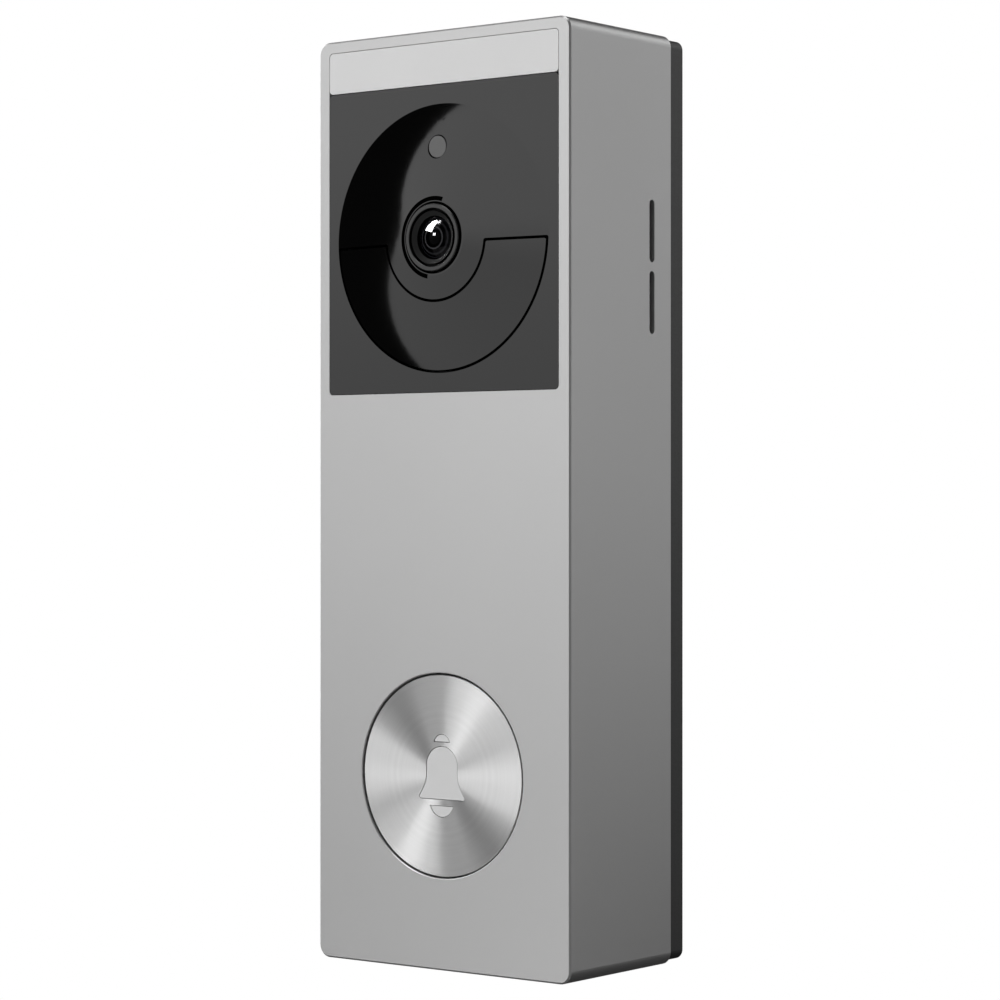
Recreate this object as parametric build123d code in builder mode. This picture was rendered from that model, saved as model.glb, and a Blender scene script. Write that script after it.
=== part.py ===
from build123d import *
import os
from math import asin, cos, pi, sin

# A video doorbell: a bracket that stays on the wall and a sealed aluminium unit that hooks onto it.
# Millimetres, +Z up. The wall is the plane Y = 0, the front faces -Y, +X is to the right seen from
# the front, and the origin is the centre of the bracket's wall face.
# A "level" is a distance straight out from the wall. A round piece is turned about an axis that
# points straight out, and its outline is a list of (level, radius) points.

# ---------------------------------------------------------------- driving dimensions
HEIGHT = 160.0
WIDTH = 54.7
CORNER = 2.2
BRACKET_DEPTH = 4.45
BRACKET_INSET = 0.5
SLIDE_GAP = 0.1  # between the bracket and the unit that slides on it
HOUSING_DEPTH = 29.25
REAR = BRACKET_DEPTH + SLIDE_GAP
FRONT = REAR + HOUSING_DEPTH

WALL = 2.4
REBATE_WALL = 1.2  # the thinner rim that the rear cover drops into
FACE = 2.2  # front plate round the button
WINDOW_FACE = 4.0  # front plate behind the camera window
INSIDE_X = WIDTH / 2 - WALL
INSIDE_Z = HEIGHT / 2 - WALL
COVER_THICK = 2.2
SEAL_THICK = 0.65
LEDGE = REAR + COVER_THICK + SEAL_THICK  # where the housing wall thickens again
FIT = 0.1  # assembly gap between pieces that don't move

# camera window
WINDOW_HALF_X = 25.0
WINDOW_BOTTOM = 18.27
WINDOW_TOP = 78.0
STRIP_BOTTOM = 70.77
WINDOW_CORNER = 0.8
PANEL_THICK = 2.4
GASKET_THICK = 0.2
SHELF = FRONT - PANEL_THICK - GASKET_THICK
CAMERA_Z = 44.5
SHELF_RIM = 1.6

# shallow dome of the camera window
DOME_R = 22.9
DOME_FLAT_R = 6.45
DOME_RISE = 2.05
DOME_CROWN = 0.06  # how far the dome's slope bulges at its middle
INSERT_TOP = 43.9
INSERT_INNER_R = 10.45
INSERT_GAP = 0.48
GROOVE_R = 6.68
GROOVE_WIDTH = 0.75
GROOVE_START, GROOVE_SWEEP = 73.0, 186.0
GROOVE_DEPTH = 1.0
SENSOR_WINDOW_Z = 60.0
SENSOR_WINDOW_R = 1.85

# lens
BARREL_R = 5.5
LENS_BORE_R = 6.15
TRIM_R, TRIM_INNER_R = 5.75, 4.95
NECK_R = 4.5  # the barrel inside the trim ring, with a deep gap between them
GLASS_R = 3.72
LENS_FRONT = FRONT + 2.5

# bell button
BUTTON_Z = -46.9
BUTTON_R = 17.2
BUTTON_HOLE_R = 17.5
BUTTON_RECESS = 0.25
CAP_THICK = 1.4
BUTTON_TRAVEL = 0.6
ICON_GAP = 0.1

# side slots of the speaker
SLOT_LEVEL = FRONT - 23.46
SLOT_LENGTH, SLOT_WIDTH = 10.7, 1.5
SLOT_HEIGHTS = (33.7, 45.9)

# boards
BOARD_THICK = 1.2
MAIN_BOARD = 15.4
CAMERA_BOARD = 18.8
SENSOR_BOARD = 22.8
LOWER_PLATE = 23.0
UPPER_PLATE = 26.0
PLATE_THICK = 1.4
BUTTON_BOARD = 26.2
BUTTON_BOARD_THICK = 1.0

# rear: bracket hooks, wiring bay, screws
HOOK_X = 16.0
HOOK_HEIGHTS = (-38.0, 68.0)
LIFT = 7.0  # how far the unit slides up to come off its hooks
STEM_WIDTH, STEM_HEIGHT = 3.0, 2.4
HEAD_WIDTH, HEAD_HEIGHT, HEAD_THICK = 6.0, 2.8, 1.5
LIP = 1.6
POCKET_WALL = 1.2
BAY_WIDTH, BAY_HEIGHT = 27.0, 38.0
BAY_FLOOR = REAR + 7.0
BRACKET_WINDOW_WIDTH, BRACKET_WINDOW_HEIGHT = 30.0, 42.0
WALL_SCREW_SPACING = 112.0
WALL_SCREW_R = 2.2
WALL_SCREW_HEAD_R = 4.2
COVER_SCREW_X, COVER_SCREW_Z = 22.9, 75.5
COVER_SCREW_R = 1.0
BOSS_R = 2.4
BOSS_END = 20.0
LOCK_LEVEL = 2.2
LOCK_SCREW_R = 1.0
RUNNING = 0.05  # radial clearance of a pin or plunger in its hole

# port door and reset button in the wiring bay
DOOR_AXIS_Z = 5.2
DOOR_AXIS_LEVEL = BAY_FLOOR - 0.95
DOOR_WIDTH, DOOR_LENGTH, DOOR_THICK = 12.6, 8.6, 1.2
PORT_Z = 0.4
PORT_WIDTH, PORT_HEIGHT = 9.0, 3.3
RESET_X, RESET_Z = 7.0, -12.0
RESET_R = 1.5
RESET_TRAVEL = 0.25

# battery and speaker
BATTERY_X, BATTERY_BOTTOM, BATTERY_TOP = 18.4, -72.5, -23.0
BATTERY_REAR, BATTERY_FRONT = 10.4, 22.2
SPEAKER_LEFT, SPEAKER_RIGHT = 8.5, 23.4
SPEAKER_BOTTOM, SPEAKER_TOP = 25.4, 54.0
SPEAKER_REAR, SPEAKER_FRONT = 8.6, 15.0
SPEAKER_WALL = 0.8


# ---------------------------------------------------------------- helpers
def out(level, height=0.0):
    """The upright plane at this level, seen from the front: its x is +X and its y is +Z."""
    return Plane(origin=(0, -level, height), x_dir=(1, 0, 0), z_dir=(0, -1, 0))


def turning_axis(height):
    """The axis of a round piece at this height, pointing straight out."""
    return Axis((0, 0, height), (0, -1, 0))


def turning_plane(height):
    """The plane that a round piece's half section is drawn on: its x is the level, its y the radius."""
    return Plane(origin=(0, 0, height), x_dir=(0, -1, 0), z_dir=(-1, 0, 0))


def turned(points, height):
    """The half section of a round piece: a closed outline of (level, radius) points."""
    with BuildSketch(turning_plane(height)) as section:
        with BuildLine():
            Polyline(*points, close=True)
        make_face()
    return section.sketch


def cap_middle(edge, crown):
    """The middle of an arc from a (level, radius) edge to a crown on the axis, square to it."""
    rise = crown - edge[0]
    sphere_r = (rise**2 + edge[1] ** 2) / (2 * rise)
    half_angle = asin(edge[1] / abs(sphere_r)) / 2
    return (crown - sphere_r * (1 - cos(half_angle)), abs(sphere_r) * sin(half_angle))


def ring_points(low, high, inner, outer):
    """The outline of a plain ring between two levels."""
    return [(low, inner), (high, inner), (high, outer), (low, outer)]


def rectangle(level, width, height, x=0.0, z=0.0, corner=0.0):
    """An upright rectangle at this level, with rounded corners where a radius is given."""
    with BuildSketch(out(level)) as outline:
        with Locations((x, z)):
            if corner > 0:
                RectangleRounded(width, height, corner)
            else:
                Rectangle(width, height)
    return outline.sketch


def discs(level, radius, places):
    """Equal circles at this level."""
    with BuildSketch(out(level)) as outline:
        with Locations(*places):
            Circle(radius)
    return outline.sketch


def frame(level, outer, inner, corner, z=0.0):
    """A rectangular ring at this level, from its outer and inner (width, height)."""
    with BuildSketch(out(level)) as outline:
        with Locations((0, z)):
            RectangleRounded(outer[0], outer[1], corner)
            Rectangle(inner[0], inner[1], mode=Mode.SUBTRACT)
    return outline.sketch


def corners(x, z_values):
    """Points left and right of the middle at each height."""
    return [(side * x, z) for side in (-1, 1) for z in z_values]


# ---------------------------------------------------------------- bracket
hook_places = corners(HOOK_X, HOOK_HEIGHTS)
wall_screws = [(0, -WALL_SCREW_SPACING / 2), (0, WALL_SCREW_SPACING / 2)]
bracket_size = (WIDTH - 2 * BRACKET_INSET, HEIGHT - 2 * BRACKET_INSET)
bracket_bottom = -bracket_size[1] / 2
STEM_END = REAR + LIP + 0.2
HEAD_END = STEM_END + HEAD_THICK
LUG_WIDTH, LUG_BOTTOM, LUG_TOP = 6.4, -74.0, -71.0
LUG_REAR = 0.9
LUG_SIDE_GAP = 0.6
LOCK_HEAD_R, LOCK_HEAD_LENGTH = 1.55, 1.6
RIB_FLOOR = 2.0  # skin left in front of the hollows in the wall side
HOLLOW_WIDTH, HOLLOW_HEIGHT = 11.0, 20.0
HOLLOW_X, HOLLOW_HEIGHTS = 15.5, (-54.0, 36.0)

with BuildPart() as wall_bracket:
    extrude(rectangle(0, *bracket_size, corner=CORNER - BRACKET_INSET), amount=BRACKET_DEPTH)
    rim = wall_bracket.faces().sort_by(Axis.Y)[-1].outer_wire().edges()
    chamfer(rim, 0.4)
    extrude(
        rectangle(0, BRACKET_WINDOW_WIDTH, BRACKET_WINDOW_HEIGHT, corner=3.0),
        amount=BRACKET_DEPTH,
        mode=Mode.SUBTRACT,
    )
    # hollows in the wall side leave ribs between them
    for place in corners(HOLLOW_X, HOLLOW_HEIGHTS):
        extrude(
            rectangle(0, HOLLOW_WIDTH, HOLLOW_HEIGHT, place[0], place[1], corner=1.0),
            amount=BRACKET_DEPTH - RIB_FLOOR,
            mode=Mode.SUBTRACT,
        )
    # wall screw holes, sunk for the heads
    with Locations(out(BRACKET_DEPTH)):
        with Locations(*wall_screws):
            CounterSinkHole(WALL_SCREW_R, WALL_SCREW_HEAD_R, BRACKET_DEPTH, 90)
    # hooks: a stem with a wider head
    for place in hook_places:
        extrude(
            rectangle(BRACKET_DEPTH, STEM_WIDTH, STEM_HEIGHT, *place),
            amount=STEM_END - BRACKET_DEPTH,
        )
        extrude(rectangle(STEM_END, HEAD_WIDTH, HEAD_HEIGHT, *place), amount=HEAD_THICK)
    # pocket for the locking lug of the rear cover, long enough for the slide
    lug_pocket_bottom = LUG_BOTTOM - LUG_SIDE_GAP
    lug_pocket_top = LUG_TOP + LIFT + LUG_SIDE_GAP
    extrude(
        rectangle(
            LUG_REAR - 0.4,
            LUG_WIDTH + 2 * LUG_SIDE_GAP,
            lug_pocket_top - lug_pocket_bottom,
            z=(lug_pocket_top + lug_pocket_bottom) / 2,
        ),
        amount=BRACKET_DEPTH,
        mode=Mode.SUBTRACT,
    )
    # security screw hole up through the bottom edge, with room for the head
    with BuildSketch(Plane.XY.offset(bracket_bottom)):
        with Locations((0, -LOCK_LEVEL)):
            Circle(LOCK_SCREW_R + RUNNING)
    extrude(amount=lug_pocket_bottom - bracket_bottom + 1.0, mode=Mode.SUBTRACT)
    with BuildSketch(Plane.XY.offset(bracket_bottom)):
        with Locations((0, -LOCK_LEVEL)):
            Circle(LOCK_HEAD_R + 0.1)
    extrude(amount=LOCK_HEAD_LENGTH + 0.4, mode=Mode.SUBTRACT)
wall_bracket.part.label = "wall_bracket"

with BuildPart() as security_screw:
    head_bottom = bracket_bottom + 0.4
    with BuildSketch(Plane.XY.offset(head_bottom)):
        with Locations((0, -LOCK_LEVEL)):
            Circle(LOCK_HEAD_R)
            RegularPolygon(0.8, 6, mode=Mode.SUBTRACT)
    extrude(amount=1.0)
    with BuildSketch(Plane.XY.offset(head_bottom + 1.0)):
        with Locations((0, -LOCK_LEVEL)):
            Circle(LOCK_HEAD_R)
    extrude(amount=LOCK_HEAD_LENGTH - 1.0)
    with BuildSketch(Plane.XY.offset(head_bottom + LOCK_HEAD_LENGTH)):
        with Locations((0, -LOCK_LEVEL)):
            Circle(LOCK_SCREW_R)
    extrude(amount=LUG_TOP - 0.4 - head_bottom - LOCK_HEAD_LENGTH)
security_screw.part.label = "security_screw"

# ---------------------------------------------------------------- housing
window_height = WINDOW_TOP - WINDOW_BOTTOM
window_middle = (WINDOW_TOP + WINDOW_BOTTOM) / 2
cover_screws = corners(COVER_SCREW_X, (-COVER_SCREW_Z, COVER_SCREW_Z))
chassis_screw_places = corners(22.3, (-69.5, -24.0))
CHASSIS_BOSS_R = 2.2
CHASSIS_SCREW_R = 0.8
MIC_LEVEL = 28.0
MIC_HOLE_R = 0.7
fascia_opening = (STRIP_BOTTOM - SHELF_RIM, WINDOW_BOTTOM + SHELF_RIM)
strip_opening = (WINDOW_TOP - SHELF_RIM, STRIP_BOTTOM + SHELF_RIM)

with BuildPart() as housing_shell:
    extrude(rectangle(REAR, WIDTH, HEIGHT, corner=CORNER), amount=HOUSING_DEPTH)
    front_rim = housing_shell.faces().sort_by(Axis.Y)[0].outer_wire().edges()
    chamfer(front_rim, 0.3)
    rear_rim = housing_shell.faces().sort_by(Axis.Y)[-1].outer_wire().edges()
    chamfer(rear_rim, 0.15)
    # hollow from the rear, with a rebate for the cover and its seal
    extrude(
        rectangle(REAR, 2 * INSIDE_X, 2 * INSIDE_Z, corner=1.0),
        amount=HOUSING_DEPTH - FACE,
        mode=Mode.SUBTRACT,
    )
    extrude(
        rectangle(REAR, WIDTH - 2 * REBATE_WALL, HEIGHT - 2 * REBATE_WALL, corner=1.0),
        amount=LEDGE - REAR,
        mode=Mode.SUBTRACT,
    )
    # thicker front plate round the camera window
    pad_bottom = WINDOW_BOTTOM - 2.0
    extrude(
        rectangle(
            FRONT - WINDOW_FACE,
            2 * INSIDE_X,
            INSIDE_Z - pad_bottom,
            z=(INSIDE_Z + pad_bottom) / 2,
        ),
        amount=WINDOW_FACE - FACE,
    )
    # recess for the fascia and the light strip, then the openings behind them
    extrude(
        rectangle(SHELF, 2 * WINDOW_HALF_X, window_height, z=window_middle, corner=WINDOW_CORNER),
        amount=FRONT - SHELF,
        mode=Mode.SUBTRACT,
    )
    for top, bottom in (fascia_opening, strip_opening):
        extrude(
            rectangle(
                FRONT - WINDOW_FACE,
                2 * (WINDOW_HALF_X - SHELF_RIM),
                top - bottom,
                z=(top + bottom) / 2,
                corner=0.6,
            ),
            amount=WINDOW_FACE,
            mode=Mode.SUBTRACT,
        )
    # bosses for the cover screws in the corners, and for the chassis screws on the front plate
    extrude(discs(LEDGE, BOSS_R, cover_screws), amount=BOSS_END - LEDGE)
    extrude(
        discs(LOWER_PLATE + PLATE_THICK, CHASSIS_BOSS_R, chassis_screw_places),
        amount=FRONT - FACE - LOWER_PLATE - PLATE_THICK,
    )
    extrude(discs(LEDGE, COVER_SCREW_R, cover_screws), amount=8.4, mode=Mode.SUBTRACT)
    extrude(
        discs(LOWER_PLATE + PLATE_THICK, CHASSIS_SCREW_R, chassis_screw_places),
        amount=5.4,
        mode=Mode.SUBTRACT,
    )
    # button hole, with a fine bevel on its rim
    extrude(
        discs(FRONT - FACE, BUTTON_HOLE_R, [(0, BUTTON_Z)]),
        amount=FACE,
        mode=Mode.SUBTRACT,
    )
    button_rim = housing_shell.edges().filter_by(GeomType.CIRCLE).sort_by(Axis.Y)
    chamfer([e for e in button_rim if abs(e.radius - BUTTON_HOLE_R) < 0.01][0], 0.15)
    # speaker slots through the right wall
    with BuildSketch(Plane.YZ.offset(INSIDE_X - 1)):
        for height in SLOT_HEIGHTS:
            with Locations((-SLOT_LEVEL, height)):
                SlotOverall(SLOT_LENGTH, SLOT_WIDTH, rotation=90)
    extrude(amount=WALL + 2, mode=Mode.SUBTRACT)
    # microphone hole through the bottom wall
    with BuildSketch(Plane.XY.offset(-HEIGHT / 2)):
        with Locations((0, -MIC_LEVEL)):
            Circle(MIC_HOLE_R)
    extrude(amount=WALL, mode=Mode.SUBTRACT)
housing_shell.part.label = "housing_shell"

# ---------------------------------------------------------------- camera window
panel_top = STRIP_BOTTOM - FIT
panel_bottom = WINDOW_BOTTOM + FIT
PANEL_REAR = FRONT - PANEL_THICK
UPPER_SEAM, LOWER_SEAM = pi / 4, 3 * pi / 4  # well inside the upper and the lower part of the dome


def dome_section(rear, turn):
    """Half section of the dome, from a flat rear level to its slightly bulging slope. It is drawn
    at this angle clockwise from straight up, which is where the turned face has its seam."""
    middle_r = (DOME_R + DOME_FLAT_R) / 2
    plane = Plane((0, 0, CAMERA_Z), x_dir=(0, -1, 0), z_dir=(-cos(turn), 0, sin(turn)))
    with BuildSketch(plane) as section:
        with BuildLine():
            Polyline((FRONT, DOME_R), (rear, DOME_R), (rear, 0), (FRONT + DOME_RISE, 0))
            Line((FRONT + DOME_RISE, 0), (FRONT + DOME_RISE, DOME_FLAT_R))
            Spline(
                (FRONT + DOME_RISE, DOME_FLAT_R),
                (FRONT + DOME_RISE / 2 + DOME_CROWN, middle_r),
                (FRONT, DOME_R),
            )
        make_face()
    return section.sketch


def insert_outline(outer_r, inner_r, top, corner):
    """The lower part of a ring round the lens, cut off level at the top."""
    with BuildSketch(out(PANEL_REAR - 1)) as outline:
        with Locations((0, CAMERA_Z)):
            Circle(outer_r)
            Circle(inner_r, mode=Mode.SUBTRACT)
        with Locations((0, top + outer_r)):
            Rectangle(2 * outer_r + 2, 2 * outer_r, mode=Mode.SUBTRACT)
        fillet(outline.vertices(), corner)
    return outline.sketch


with BuildPart() as camera_fascia:
    extrude(
        rectangle(
            PANEL_REAR,
            2 * (WINDOW_HALF_X - FIT),
            panel_top - panel_bottom,
            z=(panel_top + panel_bottom) / 2,
            corner=WINDOW_CORNER - FIT,
        ),
        amount=PANEL_THICK,
    )
    revolve(dome_section(PANEL_REAR, UPPER_SEAM), axis=turning_axis(CAMERA_Z))
    extrude(
        insert_outline(DOME_R, INSERT_INNER_R, INSERT_TOP, 0.4),
        amount=PANEL_THICK + DOME_RISE + 2,
        mode=Mode.SUBTRACT,
    )
    # bore for the lens, groove part of the way round it, hole for the light sensor window
    extrude(
        discs(PANEL_REAR, LENS_BORE_R, [(0, CAMERA_Z)]),
        amount=PANEL_THICK + DOME_RISE + 1,
        mode=Mode.SUBTRACT,
    )
    with BuildSketch(out(FRONT + DOME_RISE - GROOVE_DEPTH, CAMERA_Z)):
        with BuildLine():
            CenterArc((0, 0), GROOVE_R, GROOVE_START, GROOVE_SWEEP)
        trace(line_width=GROOVE_WIDTH)
    extrude(amount=GROOVE_DEPTH, mode=Mode.SUBTRACT)
    extrude(
        discs(PANEL_REAR, SENSOR_WINDOW_R + 2 * FIT, [(0, SENSOR_WINDOW_Z)]),
        amount=PANEL_THICK + DOME_RISE,
        mode=Mode.SUBTRACT,
    )
camera_fascia.part.label = "camera_fascia"

with BuildPart() as pir_window:
    revolve(dome_section(PANEL_REAR, LOWER_SEAM), axis=turning_axis(CAMERA_Z))
    extrude(
        insert_outline(
            DOME_R - INSERT_GAP, INSERT_INNER_R + INSERT_GAP, INSERT_TOP - INSERT_GAP, 0.3
        ),
        amount=PANEL_THICK + DOME_RISE + 2,
        mode=Mode.INTERSECT,
    )
pir_window.part.label = "pir_window"

with BuildPart() as fascia_gasket:
    extrude(
        frame(
            SHELF,
            (2 * WINDOW_HALF_X - 0.4, panel_top - panel_bottom),
            (2 * (WINDOW_HALF_X - SHELF_RIM), fascia_opening[0] - fascia_opening[1]),
            WINDOW_CORNER,
            z=(panel_top + panel_bottom) / 2,
        ),
        amount=GASKET_THICK,
    )
fascia_gasket.part.label = "fascia_gasket"

with BuildPart() as light_sensor_window:
    window_front = FRONT + DOME_RISE * (DOME_R - SENSOR_WINDOW_Z + CAMERA_Z) / (DOME_R - DOME_FLAT_R)
    extrude(
        discs(PANEL_REAR - 1.6, SENSOR_WINDOW_R, [(0, SENSOR_WINDOW_Z)]),
        amount=window_front - PANEL_REAR + 1.6,
    )
light_sensor_window.part.label = "light_sensor_window"

strip_top = WINDOW_TOP - FIT
strip_bottom = STRIP_BOTTOM + 0.05
with BuildPart() as light_bar_diffuser:
    extrude(
        rectangle(
            SHELF,
            2 * (WINDOW_HALF_X - FIT),
            strip_top - strip_bottom,
            z=(strip_top + strip_bottom) / 2,
            corner=WINDOW_CORNER - FIT,
        ),
        amount=FRONT - SHELF,
    )
light_bar_diffuser.part.label = "light_bar_diffuser"

LIGHT_BOARD = FRONT - WINDOW_FACE - 1.0
with BuildPart() as light_bar_board:
    extrude(
        rectangle(LIGHT_BOARD, 48.4, 5.4, z=(strip_opening[0] + strip_opening[1]) / 2), amount=1.0
    )
light_bar_board.part.label = "light_bar_board"

with BuildPart() as light_bar_lamps:
    with BuildSketch(out(LIGHT_BOARD + 1.0)):
        with Locations((0, (strip_opening[0] + strip_opening[1]) / 2)):
            with GridLocations(7.4, 0, 6, 1):
                Rectangle(3.0, 1.4)
    extrude(amount=0.7)
light_bar_lamps.part.label = "light_bar_lamps"

# ---------------------------------------------------------------- lens
BARREL_REAR = 21.6
with BuildPart() as lens_trim_ring:
    trim_rear = FRONT + 1.2
    section = [
        (trim_rear, TRIM_INNER_R),
        (LENS_FRONT - 0.1, TRIM_INNER_R),
        (LENS_FRONT, TRIM_INNER_R + 0.1),
        (LENS_FRONT, TRIM_R - 0.15),
        (LENS_FRONT - 0.15, TRIM_R),
        (trim_rear, TRIM_R),
    ]
    revolve(turned(section, CAMERA_Z), axis=turning_axis(CAMERA_Z))
lens_trim_ring.part.label = "lens_trim_ring"

with BuildPart() as lens_barrel:
    section = [
        (BARREL_REAR, 4.2),
        (BARREL_REAR, BARREL_R - 0.4),
        (BARREL_REAR + 7.0, BARREL_R - 0.4),
        (BARREL_REAR + 7.4, BARREL_R),
        (trim_rear, BARREL_R),
        (trim_rear, NECK_R),
        (LENS_FRONT - 0.15, NECK_R),
        (LENS_FRONT - 0.7, GLASS_R),
        (FRONT - 0.2, GLASS_R),
        (FRONT - 0.2, 2.4),
        (FRONT - 1.0, 2.4),
        (FRONT - 1.0, 4.2),
    ]
    revolve(turned(section, CAMERA_Z), axis=turning_axis(CAMERA_Z))
lens_barrel.part.label = "lens_barrel"

with BuildPart() as lens_front_element:
    glass_rear = FRONT - 0.15
    front_edge, front_crown = (FRONT + 1.1, GLASS_R - 0.05), FRONT + 2.2
    hollow_edge, hollow_crown = (glass_rear, 2.6), FRONT + 0.65
    with BuildSketch(turning_plane(CAMERA_Z)):
        with BuildLine():
            Polyline(front_edge, (glass_rear, front_edge[1]), hollow_edge)
            ThreePointArc(hollow_edge, cap_middle(hollow_edge, hollow_crown), (hollow_crown, 0))
            Line((hollow_crown, 0), (front_crown, 0))
            ThreePointArc((front_crown, 0), cap_middle(front_edge, front_crown), front_edge)
        make_face()
    revolve(axis=turning_axis(CAMERA_Z))
lens_front_element.part.label = "lens_front_element"

with BuildPart() as lens_inner_elements:
    for low, thick in ((FRONT - 4.2, 2.4), (FRONT - 8.0, 2.6)):
        points = [(low, 0), (low + thick / 2, 0), (low + thick, 2.4), (low + thick, 4.1), (low, 4.1)]
        revolve(turned(points, CAMERA_Z), axis=turning_axis(CAMERA_Z))
lens_inner_elements.part.label = "lens_inner_elements"

with BuildPart() as lens_seal:
    revolve(
        turned(ring_points(PANEL_REAR - 1.5, PANEL_REAR - 0.1, BARREL_R + 0.05, 7.6), CAMERA_Z),
        axis=turning_axis(CAMERA_Z),
    )
lens_seal.part.label = "lens_seal"

HOLDER_FLANGE = UPPER_PLATE - 1.2
with BuildPart() as lens_holder:
    extrude(rectangle(CAMERA_BOARD + 1.0, 15, 15, z=CAMERA_Z, corner=1.0), amount=4.0)
    extrude(
        discs(CAMERA_BOARD + 5.0, 7.4, [(0, CAMERA_Z)]), amount=FRONT - 4.6 - CAMERA_BOARD - 5.0
    )
    extrude(rectangle(HOLDER_FLANGE, 24, 15, z=CAMERA_Z, corner=1.5), amount=1.2)
    extrude(
        rectangle(CAMERA_BOARD + 1.0, 10.4, 10.4, z=CAMERA_Z), amount=2.0, mode=Mode.SUBTRACT
    )
    extrude(
        discs(CAMERA_BOARD + 2.0, BARREL_R + 0.05, [(0, CAMERA_Z)]),
        amount=FRONT - CAMERA_BOARD,
        mode=Mode.SUBTRACT,
    )
lens_holder.part.label = "lens_holder"

with BuildPart() as camera_board:
    extrude(rectangle(CAMERA_BOARD, 34, 30, z=CAMERA_Z, corner=1.5), amount=1.0)
camera_board.part.label = "camera_board"

with BuildPart() as image_sensor:
    extrude(rectangle(CAMERA_BOARD + 1.0, 9.0, 9.0, z=CAMERA_Z), amount=0.9)
    extrude(rectangle(CAMERA_BOARD + 1.9, 7.4, 5.6, z=CAMERA_Z), amount=0.3)
image_sensor.part.label = "image_sensor"

# ---------------------------------------------------------------- sensor board
PIR_Z = 27.8
ir_places = corners(14.5, (38.5, 50.5))
sensor_posts = corners(16.5, (21.5, 66.5))
with BuildPart() as sensor_board:
    extrude(rectangle(SENSOR_BOARD, 37, 50, z=44.0, corner=1.5), amount=BOARD_THICK)
    extrude(discs(SENSOR_BOARD, 10.9, [(0, CAMERA_Z)]), amount=BOARD_THICK, mode=Mode.SUBTRACT)
sensor_board.part.label = "sensor_board"

with BuildPart() as pir_sensor:
    can_base = SENSOR_BOARD + BOARD_THICK
    revolve(
        turned(
            [
                (can_base, 0),
                (can_base, 4.6),
                (can_base + 0.6, 4.6),
                (can_base + 0.6, 4.1),
                (can_base + 4.2, 4.1),
                (can_base + 4.2, 0),
            ],
            PIR_Z,
        ),
        axis=turning_axis(PIR_Z),
    )
    extrude(rectangle(can_base + 4.2, 4.0, 3.0, z=PIR_Z), amount=0.2)
pir_sensor.part.label = "pir_sensor"

with BuildPart() as infrared_lamps:
    extrude(discs(SENSOR_BOARD + BOARD_THICK, 1.7, ir_places), amount=3.4)
infrared_lamps.part.label = "infrared_lamps"

with BuildPart() as light_sensor:
    extrude(rectangle(SENSOR_BOARD + BOARD_THICK, 2.4, 2.0, z=SENSOR_WINDOW_Z), amount=0.8)
light_sensor.part.label = "light_sensor"

# ---------------------------------------------------------------- chassis
STEP_Z = 15.0
BUTTON_WELL_R = 20.8
BUTTON_WELL_INNER_R = 18.0
WELL_END = 29.2
board_posts = corners(21.0, (6.0, 66.0))
button_posts = [(x, BUTTON_Z + z) for x, z in ((-11, -9), (11, -9), (-11, 9), (11, 9))]
RIBBON_X, RIBBON_WIDTH = -8.0, 8.0
plate_half_x = INSIDE_X - 0.35
lower_bottom = -73.2
upper_top = 70.4

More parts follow.
